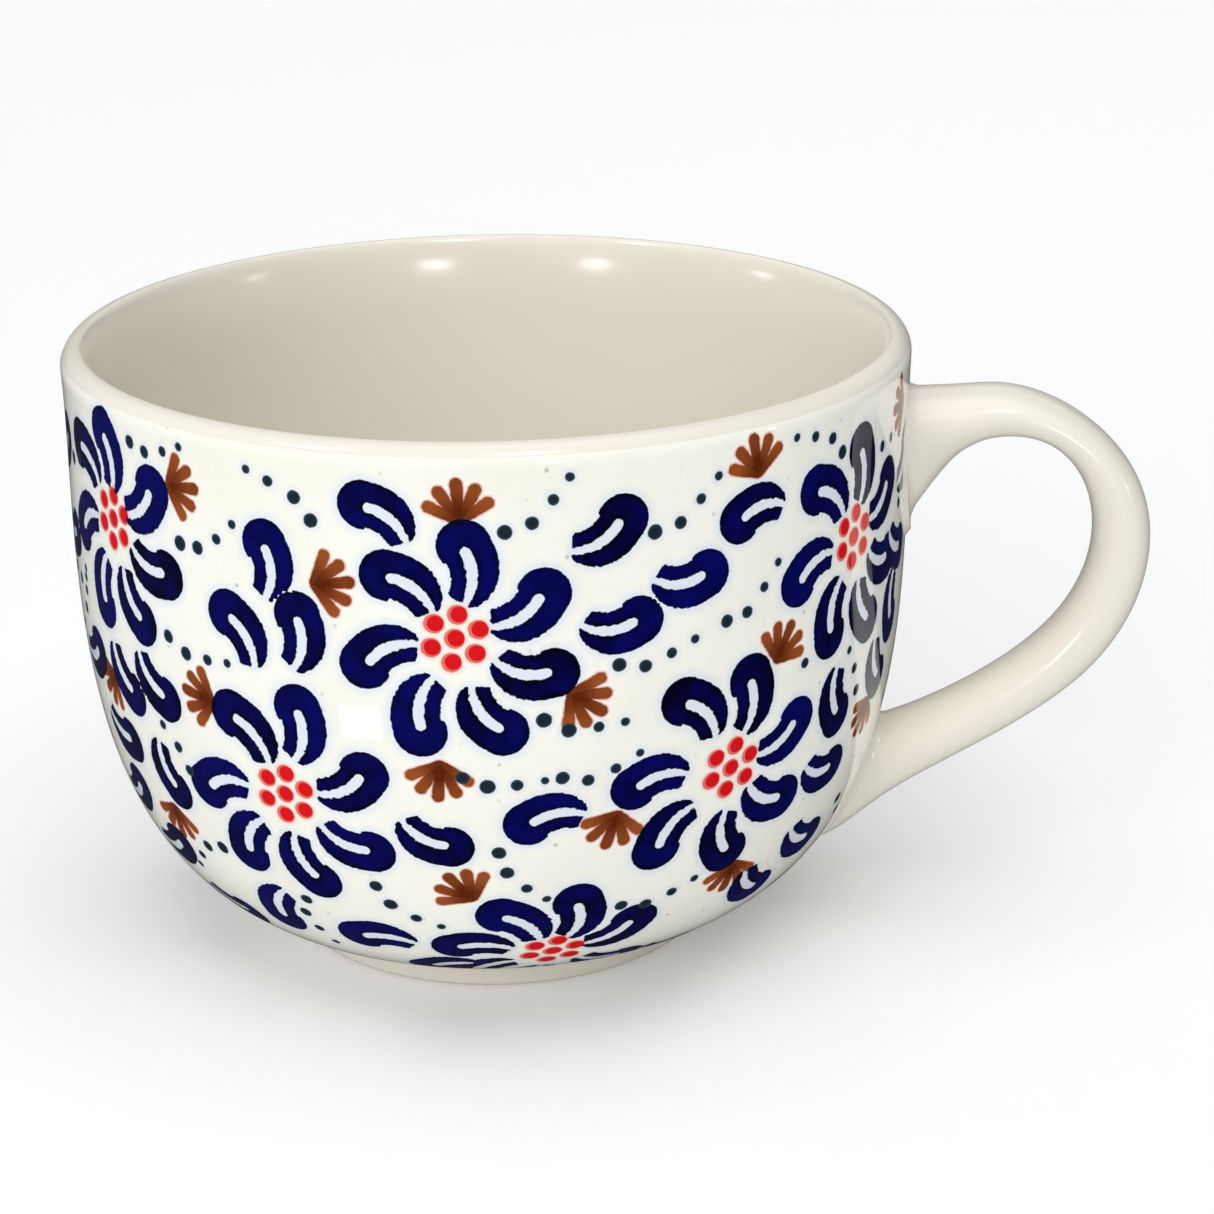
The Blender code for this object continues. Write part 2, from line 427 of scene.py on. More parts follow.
@functools.cache
def wall_tables(lip_height):
    """Heights of the outer wall and its radii there, kept for each height of the lip."""
    line = outside_line()
    return [point.y for point in line], [point.x for point in line]


def between(line, low, high):
    """The part of a rising row of points between two heights, with exact ends."""
    ends = []
    for height in (low, high):
        for a, b in zip(line, line[1:]):
            if a.y <= height <= b.y:
                ends.append(a.lerp(b, (height - a.y) / (b.y - a.y)))
                break
    inner = [point for point in line if low + HAIR < point.y < high - HAIR]
    return [ends[0]] + inner + [ends[1]]


def sunk(line, depth):
    """A row of points moved in from the wall's face by a depth."""
    moved = []
    for i, point in enumerate(line):
        along = line[min(i + 1, len(line) - 1)] - line[max(i - 1, 0)]
        moved.append(point - Vector((along.y, -along.x)).normalized() * depth)
    return moved


def strap_edges(share):
    """The strap's outer point, inner point and half width, on a clamped cubic B-spline."""
    cage = [np.array((*outer, *inner, half_width)) for outer, inner, half_width in HANDLE_CAGE]
    spans = len(cage) - 3
    knots = [0.0] * 3 + [i / spans for i in range(spans + 1)] + [1.0] * 3
    span = min(int(share * spans), spans - 1) + 3
    rows = cage[span - 3 : span + 1]
    for level in range(1, 4):
        for i in range(3, level - 1, -1):
            low = knots[span - 3 + i]
            high = knots[span + 1 + i - level]
            mix = (share - low) / (high - low)
            rows[i] = rows[i - 1] * (1 - mix) + rows[i] * mix
    outer_x, outer_z, inner_x, inner_z, half_width = rows[3]
    return Vector((outer_x, 0.0, outer_z)), Vector((inner_x, 0.0, inner_z)), half_width


def strap_point(share, angle, swell=0.0):
    """A point of the strap's skin; angle 0 is its outer edge and 180 degrees its inner one."""
    power = bpy.context.scene.handle.squareness
    outer, inner, half_width = strap_edges(share)
    centre = (outer + inner) / 2
    lift = (outer - inner) / 2
    lift += lift.normalized() * swell
    c, s = math.cos(angle), math.sin(angle)
    up = math.copysign(abs(c) ** power, c)
    across = math.copysign(abs(s) ** power, s)
    return centre + lift * up + Vector((0.0, (half_width + swell) * across, 0.0))


def clearance(point):
    """Distance of a point, taken from the cup's axis, from the wall's face; below zero inside it."""
    heights, radii = wall_tables(bpy.context.scene.cup.lip_height)
    slope = np.interp(point.z + MM, heights, radii) - np.interp(point.z - MM, heights, radii)
    facing = 1 / math.hypot(1, slope / (2 * MM))
    return (math.hypot(point.x, point.y) - np.interp(point.z, heights, radii)) * facing


def share_at(distance, angle, root):
    """The share of the strap, near one of its ends 0 and 1, at which its skin is so far from the wall."""
    near, far = abs(root - ROOT_SHARE), root
    for _ in range(HALVINGS):
        middle = (near + far) / 2
        if clearance(strap_point(middle, angle)) > distance:
            near = middle
        else:
            far = middle
    return far


# ---------------------------------------------------------------- mesh helpers


def finish_piece(name, shape, material, replaced):
    """A bmesh made into an object that rides on the cup and stands for a CAD node."""
    for face in shape.faces:
        face.smooth = True
    for edge in shape.edges:
        if edge.is_manifold and edge.calc_face_angle() > math.radians(SHARPEST_SMOOTH):
            edge.smooth = False
    mesh = bpy.data.meshes.new(name)
    shape.to_mesh(mesh)
    shape.free()
    mesh.materials.append(material)
    piece = bpy.data.objects.new(name, mesh)
    bpy.context.scene.collection.objects.link(piece)
    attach(piece, "root")
    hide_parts(replaced)
    return piece


def turned(line, steps, closed):
    """A row of points spun once round the cup's axis."""
    shape = bmesh.new()
    rows = [shape.verts.new((AXIS_X + point.x, 0.0, point.y)) for point in line]
    pairs = list(zip(rows, rows[1:])) + ([(rows[-1], rows[0])] if closed else [])
    edges = [shape.edges.new(pair) for pair in pairs]
    bmesh.ops.spin(
        shape, geom=rows + edges, cent=(AXIS_X, 0, 0), axis=(0, 0, 1), angle=math.tau,
        steps=steps, use_merge=True, use_duplicate=False,
    )
    bmesh.ops.remove_doubles(shape, verts=shape.verts, dist=WELD)
    bmesh.ops.recalc_face_normals(shape, faces=shape.faces)
    return shape


def lofted(place, rings):
    """A closed tube: a circle extruded from ring to ring, each put in place, with both ends capped."""
    shape = bmesh.new()
    layer = shape.verts.layers.float.new("round")
    verts = bmesh.ops.create_circle(shape, segments=STRAP_SIDES, radius=1.0)["verts"]
    for vert in verts:
        vert[layer] = math.atan2(vert.co.y, vert.co.x)
    edges = shape.edges[:]
    for ring in range(rings + 1):
        if ring:
            made = bmesh.ops.extrude_edge_only(shape, edges=edges)["geom"]
            verts = [item for item in made if isinstance(item, bmesh.types.BMVert)]
            edges = [e for e in made if isinstance(e, bmesh.types.BMEdge) and e.is_boundary]
        for vert in verts:
            vert.co = place(ring / rings, vert[layer])
    bmesh.ops.holes_fill(shape, edges=[e for e in shape.edges if e.is_boundary], sides=0)
    bmesh.ops.recalc_face_normals(shape, faces=shape.faces)
    shape.verts.layers.float.remove(layer)
    return shape


# ---------------------------------------------------------------- painted marks


def wall_frame(turn, height):
    """A place on the wall: its point, the direction towards the handle, and the one up the wall."""
    heights, radii = wall_tables(bpy.context.scene.cup.lip_height)
    z = height * MM
    radius = np.interp(z, heights, radii)
    slope = (np.interp(z + MM, heights, radii) - np.interp(z - MM, heights, radii)) / (2 * MM)
    angle = math.radians(turn)
    out = Vector((math.sin(angle), -math.cos(angle), 0.0))
    side = Vector((math.cos(angle), math.sin(angle), 0.0))
    up = (out * slope + Vector((0, 0, 1))).normalized()
    return Vector((AXIS_X, 0, z)) + out * radius, side, up


def placed(turn, height, direction, origin, scale=1.0):
    """A mark's frame: where its own origin lies on the wall, its x and y, and its scale."""
    point, side, up = wall_frame(turn, height)
    angle = math.radians(direction)
    along = side * math.cos(angle) + up * math.sin(angle)
    across = up * math.cos(angle) - side * math.sin(angle)
    start = point - (along * origin[0] + across * origin[1]) * MM * scale
    return start, along, across, scale


def moved_place(turn, height, direction, distance):
    """The place so many millimetres from another, along the wall."""
    angle = math.radians(direction)
    point, side, up = wall_frame(turn, height)
    moved = point + (side * math.cos(angle) + up * math.sin(angle)) * distance * MM
    new_turn = math.degrees(math.atan2(moved.x - AXIS_X, -moved.y))
    return new_turn, moved.z / MM


def repeated(marks):
    for shift, low, high in REPEATS:
        for mark in marks:
            if low <= mark[0] <= high:
                yield (mark[0] + shift, *mark[1:])


def petal_frames():
    wander = np.random.default_rng(7)
    frames = []
    for turn, height, directions in repeated(FLOWERS):
        for direction, distance in directions:
            start = moved_place(turn, height, direction, distance)
            scale = FLOWER_PETAL_SCALE * wander.uniform(0.97, 1.03)
            lean = FLOWER_PETAL_LEAN + wander.uniform(-2, 2)
            frames.append(placed(*start, direction + lean, (0.0, 0.0), scale))
    for turn, height, direction in repeated(LOOSE_PETALS):
        frames.append(placed(turn, height, direction, PETAL_MIDDLE, wander.uniform(0.91, 0.96)))
    return frames


def fan_frames():
    return [placed(*mark, (0.0, 0.0)) for mark in repeated(FANS)]


def drop_frames():
    """Frames of the seeds and dots. The last value is the radius, below zero for a seed."""
    frames = []
    for turn, height, _ in repeated(FLOWERS):
        places = [(turn, height)]
        places += [moved_place(turn, height, 82 + 60 * k, SEED_RING) for k in range(6)]
        for place in places:
            frames.append(placed(*place, 0.0, (0.0, 0.0))[:3] + (-SEED_RADIUS,))
    for turn, height, radius in repeated(DOTS):
        frames.append(placed(turn, height, 0.0, (0.0, 0.0))[:3] + (radius,))
    return frames


def local(points, mark):
    """Points in a mark's own millimetres, and how far each is from the mark's start."""
    start, along, across, scale = mark[:4]
    away = points - np.array(start)
    size = MM * abs(scale)
    return away @ np.array(along) / size, away @ np.array(across) / size, np.linalg.norm(away, axis=1)


def petal_distance(x, y):
    """Rough distance in millimetres to a petal's outline, below zero inside it."""
    dx, dy = x - SLIT_CENTRE[0], SLIT_CENTRE[1] - y
    along = np.arctan2(dx, dy) * SLIT_RADIUS
    across = SLIT_RADIUS - np.hypot(dx, dy)
    back = np.maximum(PETAL_TURN - along, 0)
    inner_edge = across - PETAL_INNER + PETAL_INNER_TAPER * back**2
    outer_edge = -across - PETAL_OUTER + PETAL_OUTER_TAPER * back**3
    band = np.maximum(inner_edge, outer_edge)
    band = np.maximum(np.maximum(band, along - PETAL_TURN), PETAL_START - along)
    disc = np.hypot(x - PETAL_DISC[0], y - PETAL_DISC[1]) - PETAL_DISC_RADIUS
    return np.minimum(band, np.maximum(disc, PETAL_CORNER - along + PETAL_CORNER_SLANT * across))


def fan_distance(x, y):
    return np.hypot(x - FAN_MIDDLE[0], y) - FAN_MIDDLE[1]


def mark_layer(piece, name, frames, distance, third):
    """Writes, for each face corner, its place in the mark nearest to the face, in that mark's
    own millimetres, and one more value for the mark."""
    mesh = piece.data
    co = np.empty(len(mesh.vertices) * 3)
    mesh.vertices.foreach_get("co", co)
    co = co.reshape(-1, 3)
    centres = np.empty(len(mesh.polygons) * 3)
    mesh.polygons.foreach_get("center", centres)
    centres = centres.reshape(-1, 3)
    best = np.full(len(centres), 1e3)
    owner = np.full(len(centres), -1)
    for index, mark in enumerate(frames):
        near = np.flatnonzero(np.linalg.norm(centres - np.array(mark[0]), axis=1) < MARK_REACH * MM)
        x, y, _ = local(centres[near], mark)
        found = distance(x, y, mark)
        closer = found < best[near]
        best[near[closer]] = found[closer]
        owner[near[closer]] = index
    starts = np.empty(len(mesh.polygons), np.int64)
    counts = np.empty(len(mesh.polygons), np.int64)
    mesh.polygons.foreach_get("loop_start", starts)
    mesh.polygons.foreach_get("loop_total", counts)
    corner_face = np.repeat(np.arange(len(starts)), counts)
    corner_vertex = np.empty(len(mesh.loops), np.int64)
    mesh.loops.foreach_get("vertex_index", corner_vertex)
    values = np.full((len(mesh.loops), 3), 50.0)
    corner_owner = owner[corner_face]
    for index, mark in enumerate(frames):
        corners = np.flatnonzero(corner_owner == index)
        x, y, _ = local(co[corner_vertex[corners]], mark)
        values[corners, 0] = x
        values[corners, 1] = y
        values[corners, 2] = third(index, mark)
    layer = mesh.attributes.new(name, "FLOAT_VECTOR", "CORNER")
    layer.data.foreach_set("vector", values.astype(np.float32).ravel())


# ---------------------------------------------------------------- shader maths


class Wire:
    """A number, colour or vector on its way through a node tree. Sums on it add Math nodes."""

    def __init__(self, graph, socket):
        self.graph = graph
        self.socket = socket

    def math(self, operation, *others, **settings):
        return self.graph.node("ShaderNodeMath", {"operation": operation, **settings}, self, *others)[0]

    def __add__(self, other):
        return self.math("ADD", other)

    __radd__ = __add__

    def __mul__(self, other):
        return self.math("MULTIPLY", other)

    __rmul__ = __mul__

    def __sub__(self, other):
        return self.math("SUBTRACT", other)

    def __rsub__(self, other):
        return self.graph.node("ShaderNodeMath", {"operation": "SUBTRACT"}, other, self)[0]

    def __neg__(self):
        return self * -1.0

    def lowest(self, other):
        return self.math("MINIMUM", other)

    def highest(self, other):
        return self.math("MAXIMUM", other)

    def root(self):
        return self.math("SQRT")

    def size(self):
        return self.math("ABSOLUTE")

    def clamped(self):
        return self.math("ADD", 0.0, use_clamp=True)

    def step(self, low, high):
        """0 below low, 1 above high, smooth between; the other way round if low is above high."""
        kind = {"interpolation_type": "SMOOTHSTEP", "data_type": "FLOAT"}
        if low > high:
            return self.graph.node("ShaderNodeMapRange", kind, self, high, low, 1.0, 0.0)[0]
        return self.graph.node("ShaderNodeMapRange", kind, self, low, high, 0.0, 1.0)[0]


def length(a, b):
    return (a * a + b * b).root()


class Glaze:
    """A material and the nodes in it."""

    def __init__(self, name):
        self.material = bpy.data.materials.new(name)
        self.material.use_nodes = True
        self.tree = self.material.node_tree
        self.shader = self.tree.nodes["Principled BSDF"]

    def node(self, kind, settings, *values, **named):
        """Any node: its settings, then its inputs in order, then its inputs by name."""
        made = self.tree.nodes.new(kind)
        for key, value in settings.items():
            setattr(made, key, value)
        inputs = [socket for socket in made.inputs if socket.enabled]
        for socket, value in list(zip(inputs, values)) + [
            (made.inputs[key.replace("_", " ")], value) for key, value in named.items()
        ]:
            self.feed(socket, value)
        return [Wire(self, socket) for socket in made.outputs if socket.enabled]

    def feed(self, socket, value):
        if isinstance(value, Wire):
            self.tree.links.new(value.socket, socket)
        elif value is not None:
            if hasattr(socket.default_value, "__len__") and len(value) < len(socket.default_value):
                value = (*value, 1.0)
            socket.default_value = value

    def place(self):
        """The point on the piece, in metres."""
        return self.node("ShaderNodeTexCoord", {})[3]

    def noise(self, scale, detail=2.0, roughness=0.5, vector=None):
        made = self.node(
            "ShaderNodeTexNoise", {}, Vector=vector or self.place(), Scale=scale, Detail=detail,
            Roughness=roughness,
        )
        return made[0]

    def mix(self, share, first, second, blend="MIX"):
        """A colour between two others."""
        made = self.tree.nodes.new("ShaderNodeMix")
        made.data_type = "RGBA"
        made.blend_type = blend
        self.feed(made.inputs["Factor"], share)
        self.feed(made.inputs[6], first)
        self.feed(made.inputs[7], second)
        return Wire(self, made.outputs[2])

    def layer(self, name):
        """The three numbers of one of the piece's own attributes."""
        vector = self.node("ShaderNodeAttribute", {"attribute_name": name})[1]
        return self.node("ShaderNodeSeparateXYZ", {}, vector)

    def bump(self, height, strength, distance):
        made = self.node("ShaderNodeBump", {}, Strength=strength, Distance=distance, Height=height)
        self.feed(self.shader.inputs["Normal"], made[0])


def cream_base(glaze, cup):
    """The cream glaze all over the cup: soft clouds, warm patches and fine iron specks."""
    clouds = glaze.noise(38.0, 3.0)
    grain = glaze.noise(650.0, 3.0, 0.6)
    base = glaze.mix(clouds.step(0.35, 0.75) * 0.28, tuple(cup.cream), tuple(cup.warm_cream))
    base = glaze.mix(grain.step(0.52, 0.80) * 0.22, base, tuple(cup.warm_cream))
    cells = glaze.node(
        "ShaderNodeTexVoronoi", {"feature": "F1"}, Vector=glaze.place(), Scale=420.0, Randomness=1.0
    )
    lot = glaze.node("ShaderNodeSeparateColor", {}, cells[1])[0]
    specks = cells[0].step(0.19, 0.05) * lot.step(0.78, 0.97)
    return glaze.mix(specks * 0.55, base, tuple(cup.speck))


def glaze_surface(glaze, wave=0.00006):
    """A wet gloss that is never quite flat."""
    swell = glaze.noise(70.0, 1.0)
    orange_peel = glaze.noise(900.0, 1.0)
    glaze.bump(swell + orange_peel * 0.012, 0.35, wave)
    shader = glaze.shader
    shader.inputs["IOR"].default_value = 1.5
    shader.inputs["Specular IOR Level"].default_value = 0.5
    shader.inputs["Coat Weight"].default_value = 0.0


def cream_glaze():
    """The material that the clay body, the handle and the slip share."""
    return bpy.data.materials.get("cream_glaze") or new_cream_glaze()


def new_cream_glaze():
    cup = bpy.context.scene.cup
    glaze = Glaze("cream_glaze")
    base = cream_base(glaze, cup)
    height = glaze.node("ShaderNodeSeparateXYZ", {}, glaze.place())[2]
    ragged = height + glaze.noise(300.0, 2.0) * 0.0006
    bare = ragged.step(0.0013, 0.0010)
    grit = glaze.noise(1400.0, 3.0, 0.7)
    clay = glaze.mix(grit.step(0.45, 0.75) * 0.5, tuple(cup.bare_clay), tuple(cup.speck))
    glaze.feed(glaze.shader.inputs["Base Color"], glaze.mix(bare, base, clay))
    glaze.feed(glaze.shader.inputs["Roughness"], bare * 0.62 + 0.03)
    glaze_surface(glaze)
    return glaze.material


def petal_paint(glaze):
    """A petal's outline, its cut start and its slit as distances, its random value, and the place
    along the arc."""
    x, y, lot = glaze.layer("petal_place")
    dx = x - SLIT_CENTRE[0]
    dy = SLIT_CENTRE[1] - y
    along = dx.math("ARCTAN2", dy) * SLIT_RADIUS
    across = SLIT_RADIUS - length(dx, dy)
    back = (PETAL_TURN - along).highest(0.0)
    inner_edge = across - PETAL_INNER + back * back * PETAL_INNER_TAPER
    outer_edge = -across - PETAL_OUTER + back * back * back * PETAL_OUTER_TAPER
    band = inner_edge.highest(outer_edge).highest(along - PETAL_TURN)
    disc = length(x - PETAL_DISC[0], y - PETAL_DISC[1]) - PETAL_DISC_RADIUS
    body = band.lowest(disc.highest(PETAL_CORNER - along + across * PETAL_CORNER_SLANT))
    start = PETAL_START - along
    into = (along - PETAL_START).highest(0.0)
    narrow, growth, decline = SLIT_WIDTH
    slit_half = narrow + into * growth - into * into * decline
    slit = length((along - SLIT_END).highest(0.0), across + SLIT_SHIFT) - slit_half
    return body, start, slit, lot, along


def rounded_meet(first, second, radius):
    """Where two shapes overlap, with its corners rounded."""
    a, b = first + radius, second + radius
    inner = a.highest(b).lowest(0.0)
    return inner + length(a.highest(0.0), b.highest(0.0)) - radius


def painted_glaze():
    cup = bpy.context.scene.cup
    glaze = Glaze("painted_glaze")
    base = cream_base(glaze, cup)
    edge = glaze.noise(1500.0, 2.0, 0.6) - 0.5
    soft = glaze.noise(330.0, 2.0) - 0.5
    bleed = glaze.noise(2600.0, 1.0) - 0.5

    body, start, slit, lot, along = petal_paint(glaze)
    torn = along.step(5.0, -2.5)
    outline = rounded_meet(body, start, PETAL_ROUNDING)
    shape = rounded_meet(outline, -slit, SLIT_ROUNDING) + edge * (0.30 + torn * 0.50) + bleed * 0.10
    petal = shape.step(0.07, -0.07)
    wash = outline.step(1.7, -0.4)

    fx, fy, _ = glaze.layer("fan_place")
    fan_angle = fy.math("ARCTAN2", fx)
    finger = fan_angle.math("DIVIDE", math.radians(FAN_FINGER_STEP)).math("ROUND")
    finger = finger.highest(-FAN_OUTER_FINGERS).lowest(FAN_OUTER_FINGERS)
    offset = fan_angle - finger * math.radians(FAN_FINGER_STEP)
    reach = length(fx, fy)
    on = reach * offset.math("COSINE")
    off = reach * offset.math("SINE")
    tip = FAN_REACH - finger.size() * FAN_FINGER_SHORTER
    beyond = (on - tip).highest(0.0) + (FAN_HEEL - on).highest(0.0)
    fan_shape = length(beyond, off) - FAN_FINGER_WIDTH - on.highest(0.0) * FAN_FINGER_SPREAD
    fan_shape = fan_shape.lowest(length(fx - FAN_PALM[0], fy) - FAN_PALM[1]) + edge * 0.30
    fan = fan_shape.step(0.10, -0.10)
    fringe = fan_shape.step(0.34, 0.0)

    sx, sy, drop_size = glaze.layer("drop_place")
    from_drop = length(sx, sy)
    is_seed = drop_size.math("LESS_THAN", 0.0)
    drop_shape = from_drop - drop_size.size() + soft * 0.22 + edge * 0.16
    seed = drop_shape.step(PAINT_EDGE, -PAINT_EDGE) * is_seed
    dot = drop_shape.step(PAINT_EDGE, -PAINT_EDGE) * (1.0 - is_seed)
    blush = drop_shape.step(0.75, 0.0) * is_seed
    dot_wash = drop_shape.step(1.1, 0.0) * (1.0 - is_seed)
    core = (length(sx - SEED_CORE[0], sy - SEED_CORE[1]) + soft * 0.3).step(1.24, 1.04)

    flow = glaze.noise(210.0, 3.0, 0.65)
    pooled = shape.step(-0.9, -0.1) * 0.55
    thick = (flow.step(0.35, 0.64) * 0.60 + pooled + (lot - 0.5) * 0.7).clamped()
    blue = glaze.mix(thick, tuple(cup.cobalt), tuple(cup.cobalt_dark))
    slate_rim = drop_shape.step(-0.5, 0.0) * 0.6
    slate = glaze.mix(slate_rim, tuple(cup.slate), tuple(cup.slate_rim))
    loaded = on.step(4.6, 0.6) * 0.75 + (0.5 - finger.size() * 0.22)
    rust_depth = (loaded + (flow - 0.5) * 0.8).clamped()
    rust = glaze.mix(rust_depth, tuple(cup.rust), tuple(cup.rust_dark))
    seed_paint = glaze.mix(core, tuple(cup.salmon), tuple(cup.red))

    colour = glaze.mix(wash.highest(dot_wash * 0.7) * 0.75, base, tuple(cup.cobalt_wash))
    colour = glaze.mix(blush * 0.55, colour, tuple(cup.blush))
    colour = glaze.mix(fringe * 0.6, colour, tuple(cup.salmon))
    colour = glaze.mix(fan, colour, rust)
    colour = glaze.mix(seed, colour, seed_paint)
    overlap = petal * fan
    colour = glaze.mix(petal, colour, glaze.mix(overlap * 0.8, blue, tuple(cup.overlap)))
    colour = glaze.mix(dot, colour, slate)

    height = glaze.node("ShaderNodeSeparateXYZ", {}, glaze.place())[2]
    band = height + soft * 0.0003
    foot_line = band.step(0.0079, 0.0077) * band.step(0.0068, 0.0070)
    colour = glaze.mix(band.step(0.0072, 0.0068), colour, base)
    colour = glaze.mix(foot_line * 0.85, colour, tuple(cup.cobalt_dark))

    glaze.feed(glaze.shader.inputs["Base Color"], colour)
    glaze.feed(glaze.shader.inputs["Roughness"], petal * 0.01 + 0.03)
    glaze_surface(glaze)
    return glaze.material


# ---------------------------------------------------------------- pieces


class CUP_OT_clay_body(bpy.types.Operator):
    """Turn the cream clay body: inside, lip, foot ring, and a shallow bed for the painted wall"""

    bl_idname = "cup.clay_body"
    bl_label = "Clay body"

    def execute(self, context):
        cup = context.scene.cup
        inner = []
        for i in range(INSIDE_ROWS + 1):
            share = i / INSIDE_ROWS
            thickness = cup.wall_at_base + (cup.wall_at_rim - cup.wall_at_base) * share
            point = outer_wall(share) - wall_normal(share) * thickness
            if point.y < CUP_HEIGHT - cup.shoulder_drop:
                inner.append(point)
        middle, level = (0, cup.floor_height), (FLOOR_LEVEL, cup.floor_height)
        floor = [cubic(middle, level, FLOOR_TURN, inner[0], i / FLOOR_ROWS) for i in range(FLOOR_ROWS)]
        crest = Vector((RIM_RADIUS - cup.lip_reach, CUP_HEIGHT))
        lip_in = []
        for i in range(1, INSIDE_EDGE_ROWS + 1):
            angle = math.pi / 2 * i / INSIDE_EDGE_ROWS
            lip_in.append(Vector((
                crest.x + (inner[-1].x - crest.x) * math.cos(angle),
                inner[-1].y + (crest.y - inner[-1].y) * math.sin(angle),
            )))
        outside = outside_line()
        lip_out = between(outside, cup.paint_top, CUP_HEIGHT - WELD)[::-1]
        bed = sunk(between(outside, cup.paint_bottom, cup.paint_top), cup.paint_depth)[::-3]
        hem = between(outside, outside[0].y + WELD, cup.paint_bottom)[::-1]
        line = floor + inner + lip_in + lip_out + bed + hem + self.foot(cup.foot_radius)
        shape = turned(line, BODY_STEPS, closed=False)
        finish_piece("clay_body", shape, cream_glaze(), "cup_body")
        return {"FINISHED"}

    @staticmethod
    def foot(radius):
        """The foot ring's section, from the wall's crease to the middle of the recess."""
        foot = [Vector(point) for point in FOOT_HOLLOW]
        ring_inner = radius - FOOT_EDGE - FOOT_LAND
        angles = [math.pi / 2 * i / FOOT_EDGE_ROWS for i in range(FOOT_EDGE_ROWS + 1)]
        for angle in angles:
            across, down = FOOT_EDGE * math.cos(angle), FOOT_EDGE * math.sin(angle)
            foot.append(Vector((radius - FOOT_EDGE + across, FOOT_EDGE - down)))
        for angle in angles:
            across, down = FOOT_INNER_EDGE * math.sin(angle), FOOT_INNER_EDGE * math.cos(angle)
            foot.append(Vector((ring_inner - across, FOOT_INNER_EDGE - down)))
        foot += [Vector((ring_inner - inwards, height)) for inwards, height in RECESS]
        return foot + [Vector((0.0, RECESS[-1][1]))]


class CUP_OT_painted_wall(bpy.types.Operator):
    """Turn the painted outer layer of the wall and lay out the painter's marks on it"""

    bl_idname = "cup.painted_wall"
    bl_label = "Painted wall"

    def execute(self, context):
        cup = context.scene.cup
        face = between(outside_line(), cup.paint_bottom, cup.paint_top)
        back = sunk(face, cup.paint_depth * 0.9)[::-8]
        shape = turned(face + back, PAINT_STEPS, closed=True)
        piece = finish_piece("painted_wall", shape, painted_glaze(), "cup_body")
        lots = np.random.default_rng(3).uniform(0, 1, 1000)
        mark_layer(
            piece, "petal_place", petal_frames(),
            lambda x, y, mark: petal_distance(x, y) * mark[3], lambda i, mark: lots[i],
        )
        mark_layer(
            piece, "fan_place", fan_frames(),
            lambda x, y, mark: fan_distance(x, y), lambda i, mark: lots[i + 300],
        )
        drops = drop_frames()
        mark_layer(
            piece, "drop_place", [mark[:3] + (1.0, mark[3]) for mark in drops],
            lambda x, y, mark: np.hypot(x, y) - abs(mark[4]), lambda i, mark: mark[4],
        )
        return {"FINISHED"}


class CUP_OT_strap_handle(bpy.types.Operator):
    """Press the oval strap and bend it into its loop"""

    bl_idname = "cup.strap_handle"
    bl_label = "Strap handle"

    def execute(self, context):
        ends = {}

        def place(step, angle):
            if angle not in ends:
                ends[angle] = share_at(-ROOT_DEPTH, angle, 0), share_at(-ROOT_DEPTH, angle, 1)
            first, last = ends[angle]
            return strap_point(first + (last - first) * step, angle) + Vector((AXIS_X, 0, 0))

        shape = lofted(place, STRAP_RINGS)
        finish_piece("strap_handle", shape, cream_glaze(), "handle")
        return {"FINISHED"}


class CUP_OT_slip_fillets(bpy.types.Operator):
    """Fill the corner between the strap's roots and the wall with smoothed slip"""

    bl_idname = "cup.slip_fillets"
    bl_label = "Slip fillets"

    def execute(self, context):
        radius = context.scene.handle.fillet

        def place_at(root):
            ends = {}

            def place(step, angle):
                if angle not in ends:
                    ends[angle] = share_at(-FILLET_DEPTH, angle, root), share_at(radius, angle, root)
                first, last = ends[angle]
                share = first + (last - first) * step
                away = clearance(strap_point(share, angle))
                inside = min(max(radius - away, 0.0), radius)
                swell = radius - math.sqrt(radius**2 - inside**2)
                swell += FILLET_SKIN * (1 - 2 * step**8)
                return strap_point(share, angle, swell) + Vector((AXIS_X, 0, 0))

            return place

        for name, node, root in (
            ("upper_slip_fillet", "upper_handle_joint", 0),
            ("lower_slip_fillet", "lower_handle_joint", 1),
        ):
            shape = lofted(place_at(root), FILLET_RINGS)
            finish_piece(name, shape, cream_glaze(), node)
        return {"FINISHED"}


# ---------------------------------------------------------------- studio


# Bright panes that only the glaze mirrors: the way to each from the rim, how far it is, its width
# and height, all in metres, and its brightness.
GLINTS = (
    ("left_skylight", (-0.51, -0.36, 0.78), 1.2, (0.10, 0.10), 50.0),
    ("right_skylight", (0.20, -0.56, 0.81), 1.2, (0.12, 0.10), 50.0),
    ("front_window", (0.40, -0.91, 0.09), 1.4, (0.16, 0.07), 60.0),
    ("left_window", (-0.45, -0.89, 0.09), 1.4, (0.15, 0.07), 60.0),
    ("far_right_window", (0.96, -0.10, 0.14), 1.4, (0.06, 0.05), 60.0),
    ("far_left_window", (-0.96, -0.06, 0.14), 1.4, (0.10, 0.05), 50.0),
    ("low_pane", (-0.050, -0.130, -0.083), 0.163, (0.022, 0.010), 5.0),
    ("back_card", (0.30, 0.90, 0.42), 1.6, (1.4, 0.50), 0.5),
    ("top_card", (0.10, 0.25, 0.96), 1.5, (0.9, 0.9), 0.8),
)


def glint(name, towards, reach, size, brightness):
    """A pane of light, seen only where the glaze mirrors it."""
    light = bpy.data.lights.new(name, "AREA")
    light.shape = "RECTANGLE"
    light.size, light.size_y = size
    light.energy = brightness * math.pi * size[0] * size[1]
    lamp = bpy.data.objects.new(name, light)
    bpy.context.scene.collection.objects.link(lamp)
    lamp.location = Vector((AXIS_X, 0.0, CUP_HEIGHT)) + towards * reach
    lamp.rotation_euler = towards.to_track_quat("Z", "Y").to_euler()
    lamp.visible_camera = False
    lamp.visible_diffuse = False


